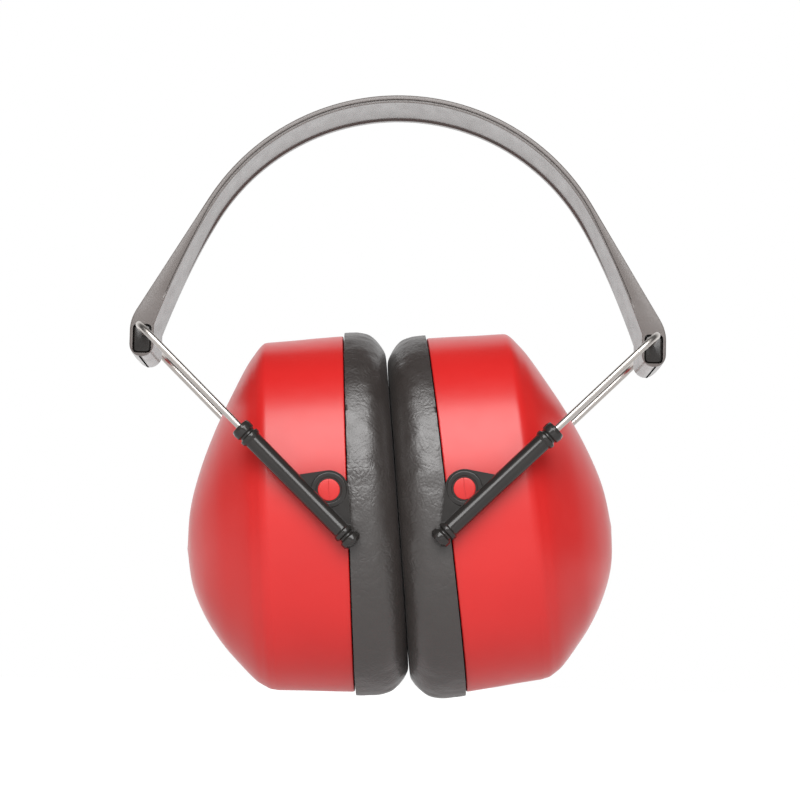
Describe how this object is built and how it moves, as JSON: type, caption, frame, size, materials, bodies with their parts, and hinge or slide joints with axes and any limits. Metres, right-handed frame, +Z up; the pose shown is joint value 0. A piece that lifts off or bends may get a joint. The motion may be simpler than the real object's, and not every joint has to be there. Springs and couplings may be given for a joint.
{
  "type": "hearing protection earmuffs",
  "caption": "Folding earmuffs: a moulded headband, wire yokes that fold and slide for height, and deep ear cups with sealing cushions that swivel on studs.",
  "frame": {"origin": "underside of the headband's crown, on the centre line, where it rests on the head", "axes": "+X to the right ear cup as seen from the front, +Z up, -Y towards the front; X runs ear to ear"},
  "size_m": [0.16, 0.0958, 0.1797],
  "materials": {
    "band_plastic": "moulded dark grey plastic, satin",
    "black_plastic": "moulded black plastic, glossy",
    "red_plastic": "moulded red plastic, satin gloss",
    "wire": "bright plated spring steel wire",
    "cushion_vinyl": "soft grained black vinyl skin over foam",
    "foam": "open-cell dark grey foam"
  },
  "bodies": {
    "headband": {"headband": "band_plastic", "left_hinge_block": "black_plastic", "right_hinge_block": "black_plastic"},
    "left_yoke": {"left_wire_yoke": "wire"},
    "left_slider_pair": {"left_front_slider": "black_plastic", "left_rear_slider": "black_plastic"},
    "left_cup": {"left_cup_shell": "red_plastic", "left_front_stud": "red_plastic", "left_rear_stud": "red_plastic", "left_cushion": "cushion_vinyl", "left_retaining_plate": "black_plastic", "left_acoustic_foam": "foam"},
    "right_yoke": {"right_wire_yoke": "wire"},
    "right_slider_pair": {"right_front_slider": "black_plastic", "right_rear_slider": "black_plastic"},
    "right_cup": {"right_cup_shell": "red_plastic", "right_front_stud": "red_plastic", "right_rear_stud": "red_plastic", "right_cushion": "cushion_vinyl", "right_retaining_plate": "black_plastic", "right_acoustic_foam": "foam"}
  },
  "joints": [
    {"name": "left_fold", "type": "hinge", "parent": "headband", "child": "left_yoke", "pos_m": [-0.0755, 0, -0.0711], "axis": [0, 1, 0], "range_deg": [0, 55]},
    {"name": "left_height", "type": "slide", "parent": "left_yoke", "child": "left_slider_pair", "axis": [-0.7151, 0, 0.699], "range_m": [0, 0.014]},
    {"name": "left_swivel", "type": "hinge", "parent": "left_slider_pair", "child": "left_cup", "pos_m": [-0.01895, 0, -0.11854], "axis": [0, 1, 0], "range_deg": [-55, 0]},
    {"name": "right_fold", "type": "hinge", "parent": "headband", "child": "right_yoke", "pos_m": [0.0755, 0, -0.0711], "axis": [0, -1, 0], "range_deg": [0, 55]},
    {"name": "right_height", "type": "slide", "parent": "right_yoke", "child": "right_slider_pair", "axis": [0.7151, 0, 0.699], "range_m": [-0.0017, 0.0123]},
    {"name": "right_swivel", "type": "hinge", "parent": "right_slider_pair", "child": "right_cup", "pos_m": [0.02017, 0, -0.11736], "axis": [0, -1, 0], "range_deg": [-55, 0]}
  ],
  "couplings": [
    {"joint": "left_swivel", "follows": "left_fold", "ratio": -1},
    {"joint": "right_swivel", "follows": "right_fold", "ratio": -1}
  ]
}
